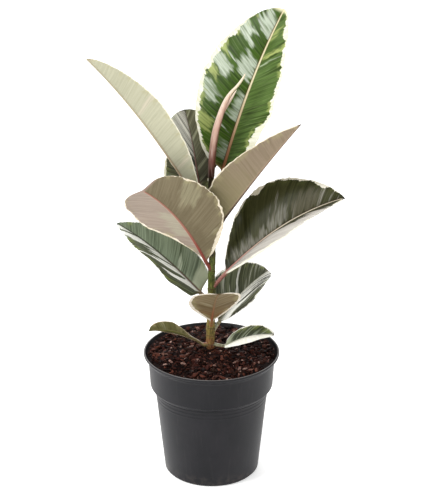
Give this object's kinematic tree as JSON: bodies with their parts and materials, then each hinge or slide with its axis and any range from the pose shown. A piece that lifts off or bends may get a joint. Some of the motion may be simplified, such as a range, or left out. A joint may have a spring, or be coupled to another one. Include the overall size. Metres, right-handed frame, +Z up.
{
  "type": "potted rubber plant",
  "caption": "Young variegated rubber plant with broad cream-edged leaves and a new leaf rolled in its sheath, growing in a dark thin-walled nursery pot that stands on its flat base.",
  "frame": {"origin": "centre of the flat underside of the pot, on the surface it stands on", "axes": "+Z up along the pot's axis and the stem; the plant's front faces -Y and its right-hand leaves point to +X"},
  "size_m": [0.2722, 0.1587, 0.5174],
  "materials": {
    "pot_plastic": "dark grey injection-moulded plastic, satin, slightly rubbed",
    "potting_mix": "moist dark brown peat with bark chips",
    "stem_bark": "green-brown young bark with leaf scars",
    "sheath_skin": "thin satin skin, dark red at the foot and pink above",
    "leaf_skin": "leathery, glossy above and matt below, grey-green with cream margins"
  },
  "bodies": {
    "root": {"nursery_pot": "pot_plastic", "potting_soil": "potting_mix", "stem": "stem_bark", "leaf_sheath": "sheath_skin", "leaf_01": "leaf_skin", "leaf_02": "leaf_skin", "leaf_03": "leaf_skin", "leaf_04": "leaf_skin", "leaf_05": "leaf_skin", "leaf_06": "leaf_skin", "leaf_07": "leaf_skin", "leaf_08": "leaf_skin", "leaf_09": "leaf_skin", "leaf_10": "leaf_skin", "leaf_11": "leaf_skin", "leaf_12": "leaf_skin"}
  },
  "joints": []
}
